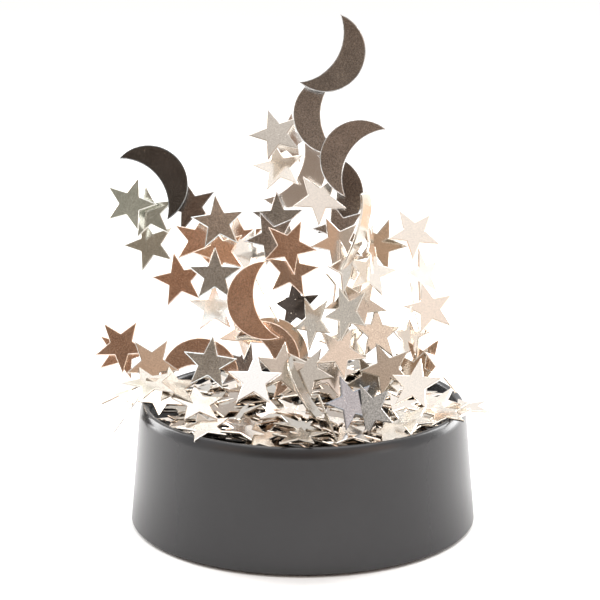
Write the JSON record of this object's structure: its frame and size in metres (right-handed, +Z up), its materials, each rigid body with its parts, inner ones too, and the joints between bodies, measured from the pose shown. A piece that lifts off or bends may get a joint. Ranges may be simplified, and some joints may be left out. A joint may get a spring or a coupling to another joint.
{
  "type": "magnetic desk sculpture",
  "caption": "Round magnetic desk base with a shallow dish and a free-form tower of loose nickel-plated steel stars and crescent moons.",
  "frame": {"origin": "centre of the underside, on the surface it stands on", "axes": "+Z up, the front of the tower faces -Y"},
  "size_m": [0.0953, 0.085, 0.1246],
  "materials": {
    "black_plastic": "satin",
    "cover_plastic": "matte",
    "ferrite": "matte",
    "foot_rubber": "matte",
    "nickel_steel": "bright nickel plate"
  },
  "bodies": {
    "base": {"base_shell": "black_plastic", "ring_magnet": "ferrite", "bottom_cover": "cover_plastic", "foot_pad": "foot_rubber", "star_heap": "nickel_steel", "moon_03": "nickel_steel", "moon_10": "nickel_steel"},
    "star_01": {"star_01": "nickel_steel"},
    "star_02": {"star_02": "nickel_steel"},
    "star_03": {"star_03": "nickel_steel"},
    "moon_01": {"moon_01": "nickel_steel"},
    "star_04": {"star_04": "nickel_steel"},
    "star_05": {"star_05": "nickel_steel"},
    "star_06": {"star_06": "nickel_steel"},
    "star_07": {"star_07": "nickel_steel"},
    "star_08": {"star_08": "nickel_steel"},
    "star_09": {"star_09": "nickel_steel"},
    "star_10": {"star_10": "nickel_steel"},
    "star_11": {"star_11": "nickel_steel"},
    "moon_02": {"moon_02": "nickel_steel"},
    "star_12": {"star_12": "nickel_steel"},
    "star_13": {"star_13": "nickel_steel"},
    "star_14": {"star_14": "nickel_steel"},
    "star_15": {"star_15": "nickel_steel"},
    "star_16": {"star_16": "nickel_steel"},
    "star_17": {"star_17": "nickel_steel"},
    "moon_04": {"moon_04": "nickel_steel"},
    "moon_05": {"moon_05": "nickel_steel"},
    "moon_06": {"moon_06": "nickel_steel"},
    "moon_07": {"moon_07": "nickel_steel"},
    "moon_08": {"moon_08": "nickel_steel"},
    "star_18": {"star_18": "nickel_steel"},
    "star_19": {"star_19": "nickel_steel"},
    "star_20": {"star_20": "nickel_steel"},
    "star_21": {"star_21": "nickel_steel"},
    "star_22": {"star_22": "nickel_steel"},
    "star_23": {"star_23": "nickel_steel"},
    "star_24": {"star_24": "nickel_steel"},
    "star_25": {"star_25": "nickel_steel"},
    "star_26": {"star_26": "nickel_steel"},
    "moon_09": {"moon_09": "nickel_steel"},
    "star_27": {"star_27": "nickel_steel"},
    "star_28": {"star_28": "nickel_steel"},
    "star_29": {"star_29": "nickel_steel"},
    "star_30": {"star_30": "nickel_steel"},
    "star_31": {"star_31": "nickel_steel"},
    "moon_11": {"moon_11": "nickel_steel"},
    "star_32": {"star_32": "nickel_steel"},
    "star_33": {"star_33": "nickel_steel"},
    "star_34": {"star_34": "nickel_steel"},
    "star_35": {"star_35": "nickel_steel"},
    "star_36": {"star_36": "nickel_steel"},
    "star_37": {"star_37": "nickel_steel"},
    "moon_12": {"moon_12": "nickel_steel"},
    "star_38": {"star_38": "nickel_steel"},
    "star_39": {"star_39": "nickel_steel"},
    "star_40": {"star_40": "nickel_steel"},
    "star_41": {"star_41": "nickel_steel"},
    "star_42": {"star_42": "nickel_steel"},
    "star_43": {"star_43": "nickel_steel"}
  },
  "joints": [
    {"name": "star_01_pull_off", "type": "slide", "parent": "base", "child": "star_01", "axis": [-0.6409, -0.6409, 0.4226], "range_m": [0, 0.04]},
    {"name": "star_02_pull_off", "type": "slide", "parent": "base", "child": "star_02", "axis": [-0.4532, 0.7849, 0.4226], "range_m": [0, 0.04]},
    {"name": "star_03_pull_off", "type": "slide", "parent": "base", "child": "star_03", "axis": [-0.4532, 0.7849, 0.4226], "range_m": [0, 0.04]},
    {"name": "moon_01_pull_off", "type": "slide", "parent": "base", "child": "moon_01", "axis": [-0.6409, -0.6409, 0.4226], "range_m": [0, 0.04]},
    {"name": "star_04_pull_off", "type": "slide", "parent": "base", "child": "star_04", "axis": [-0.4532, 0.7849, 0.4226], "range_m": [0, 0.04]},
    {"name": "star_05_pull_off", "type": "slide", "parent": "base", "child": "star_05", "axis": [-0.4532, -0.7849, 0.4226], "range_m": [0, 0.04]},
    {"name": "star_06_pull_off", "type": "slide", "parent": "base", "child": "star_06", "axis": [-0.4967, 0.2868, 0.8192], "range_m": [0, 0.04]},
    {"name": "star_07_pull_off", "type": "slide", "parent": "base", "child": "star_07", "axis": [-0.3304, 0.0885, 0.9397], "range_m": [0, 0.04]},
    {"name": "star_08_pull_off", "type": "slide", "parent": "base", "child": "star_08", "axis": [-0.6409, 0.6409, 0.4226], "range_m": [0, 0.04]},
    {"name": "star_09_pull_off", "type": "slide", "parent": "base", "child": "star_09", "axis": [-0.4532, -0.7849, 0.4226], "range_m": [0, 0.04]},
    {"name": "star_10_pull_off", "type": "slide", "parent": "base", "child": "star_10", "axis": [-0.8754, -0.2346, 0.4226], "range_m": [0, 0.04]},
    {"name": "star_11_pull_off", "type": "slide", "parent": "base", "child": "star_11", "axis": [-0.8754, -0.2346, 0.4226], "range_m": [0, 0.04]},
    {"name": "moon_02_pull_off", "type": "slide", "parent": "base", "child": "moon_02", "axis": [-0.4532, -0.7849, 0.4226], "range_m": [0, 0.04]},
    {"name": "star_12_pull_off", "type": "slide", "parent": "base", "child": "star_12", "axis": [-0.4056, 0.4056, 0.8192], "range_m": [0, 0.04]},
    {"name": "star_13_pull_off", "type": "slide", "parent": "base", "child": "star_13", "axis": [-0.4532, 0.7849, 0.4226], "range_m": [0, 0.04]},
    {"name": "star_14_pull_off", "type": "slide", "parent": "base", "child": "star_14", "axis": [-0.4532, -0.7849, 0.4226], "range_m": [0, 0.04]},
    {"name": "star_15_pull_off", "type": "slide", "parent": "base", "child": "star_15", "axis": [-0.7849, -0.4532, 0.4226], "range_m": [0, 0.04]},
    {"name": "star_16_pull_off", "type": "slide", "parent": "base", "child": "star_16", "axis": [-0.6409, 0.6409, 0.4226], "range_m": [0, 0.04]},
    {"name": "star_17_pull_off", "type": "slide", "parent": "base", "child": "star_17", "axis": [-0.4532, -0.7849, 0.4226], "range_m": [0, 0.04]},
    {"name": "moon_04_pull_off", "type": "slide", "parent": "base", "child": "moon_04", "axis": [0.4532, -0.7849, 0.4226], "range_m": [0, 0.04]},
    {"name": "moon_05_pull_off", "type": "slide", "parent": "base", "child": "moon_05", "axis": [0.4532, 0.7849, 0.4226], "range_m": [0, 0.04]},
    {"name": "moon_06_pull_off", "type": "slide", "parent": "base", "child": "moon_06", "axis": [0.4532, -0.7849, 0.4226], "range_m": [0, 0.04]},
    {"name": "moon_07_pull_off", "type": "slide", "parent": "base", "child": "moon_07", "axis": [0.2346, 0.8754, 0.4226], "range_m": [0, 0.04]},
    {"name": "moon_08_pull_off", "type": "slide", "parent": "base", "child": "moon_08", "axis": [0.7849, 0.4532, 0.4226], "range_m": [0, 0.04]},
    {"name": "star_18_pull_off", "type": "slide", "parent": "base", "child": "star_18", "axis": [0.9063, 0, 0.4226], "range_m": [0, 0.04]},
    {"name": "star_19_pull_off", "type": "slide", "parent": "base", "child": "star_19", "axis": [-0.6409, -0.6409, 0.4226], "range_m": [0, 0.04]},
    {"name": "star_20_pull_off", "type": "slide", "parent": "base", "child": "star_20", "axis": [-0.9063, 0, 0.4226], "range_m": [0, 0.04]},
    {"name": "star_21_pull_off", "type": "slide", "parent": "base", "child": "star_21", "axis": [-0.2346, 0.8754, 0.4226], "range_m": [0, 0.04]},
    {"name": "star_22_pull_off", "type": "slide", "parent": "base", "child": "star_22", "axis": [0.9513, 0.1677, 0.2588], "range_m": [0, 0.04]},
    {"name": "star_23_pull_off", "type": "slide", "parent": "base", "child": "star_23", "axis": [-0.554, 0.1485, 0.8192], "range_m": [0, 0.04]},
    {"name": "star_24_pull_off", "type": "slide", "parent": "base", "child": "star_24", "axis": [-0.2346, -0.8754, 0.4226], "range_m": [0, 0.04]},
    {"name": "star_25_pull_off", "type": "slide", "parent": "base", "child": "star_25", "axis": [-0.342, 0, 0.9397], "range_m": [0, 0.04]},
    {"name": "star_26_pull_off", "type": "slide", "parent": "base", "child": "star_26", "axis": [-0.4532, 0.7849, 0.4226], "range_m": [0, 0.04]},
    {"name": "moon_09_pull_off", "type": "slide", "parent": "base", "child": "moon_09", "axis": [0.554, 0.1485, 0.8192], "range_m": [0, 0.04]},
    {"name": "star_27_pull_off", "type": "slide", "parent": "base", "child": "star_27", "axis": [-0.9623, -0.0842, 0.2588], "range_m": [0, 0.04]},
    {"name": "star_28_pull_off", "type": "slide", "parent": "base", "child": "star_28", "axis": [-0.2346, -0.8754, 0.4226], "range_m": [0, 0.04]},
    {"name": "star_29_pull_off", "type": "slide", "parent": "base", "child": "star_29", "axis": [-0.4532, -0.7849, 0.4226], "range_m": [0, 0.04]},
    {"name": "star_30_pull_off", "type": "slide", "parent": "base", "child": "star_30", "axis": [0.7399, 0.1983, 0.6428], "range_m": [0, 0.04]},
    {"name": "star_31_pull_off", "type": "slide", "parent": "base", "child": "star_31", "axis": [0.9063, 0, 0.4226], "range_m": [0, 0.04]},
    {"name": "moon_11_pull_off", "type": "slide", "parent": "base", "child": "moon_11", "axis": [0.6409, -0.6409, 0.4226], "range_m": [0, 0.04]},
    {"name": "star_32_pull_off", "type": "slide", "parent": "base", "child": "star_32", "axis": [0.4532, 0.7849, 0.4226], "range_m": [0, 0.04]},
    {"name": "star_33_pull_off", "type": "slide", "parent": "base", "child": "star_33", "axis": [0.6409, -0.6409, 0.4226], "range_m": [0, 0.04]},
    {"name": "star_34_pull_off", "type": "slide", "parent": "base", "child": "star_34", "axis": [0.4532, 0.7849, 0.4226], "range_m": [0, 0.04]},
    {"name": "star_35_pull_off", "type": "slide", "parent": "base", "child": "star_35", "axis": [-0.2346, -0.8754, 0.4226], "range_m": [0, 0.04]},
    {"name": "star_36_pull_off", "type": "slide", "parent": "base", "child": "star_36", "axis": [0.9063, 0, 0.4226], "range_m": [0, 0.04]},
    {"name": "star_37_pull_off", "type": "slide", "parent": "base", "child": "star_37", "axis": [0.2346, -0.8754, 0.4226], "range_m": [0, 0.04]},
    {"name": "moon_12_pull_off", "type": "slide", "parent": "base", "child": "moon_12", "axis": [0.6409, -0.6409, 0.4226], "range_m": [0, 0.04]},
    {"name": "star_38_pull_off", "type": "slide", "parent": "base", "child": "star_38", "axis": [0.6409, -0.6409, 0.4226], "range_m": [0, 0.04]},
    {"name": "star_39_pull_off", "type": "slide", "parent": "base", "child": "star_39", "axis": [0.6409, -0.6409, 0.4226], "range_m": [0, 0.04]},
    {"name": "star_40_pull_off", "type": "slide", "parent": "base", "child": "star_40", "axis": [0.9063, 0, 0.4226], "range_m": [0, 0.04]},
    {"name": "star_41_pull_off", "type": "slide", "parent": "base", "child": "star_41", "axis": [0.7849, 0.4532, 0.4226], "range_m": [0, 0.04]},
    {"name": "star_42_pull_off", "type": "slide", "parent": "base", "child": "star_42", "axis": [0.2346, -0.8754, 0.4226], "range_m": [0, 0.04]},
    {"name": "star_43_pull_off", "type": "slide", "parent": "base", "child": "star_43", "axis": [0.6409, -0.6409, 0.4226], "range_m": [0, 0.04]}
  ]
}
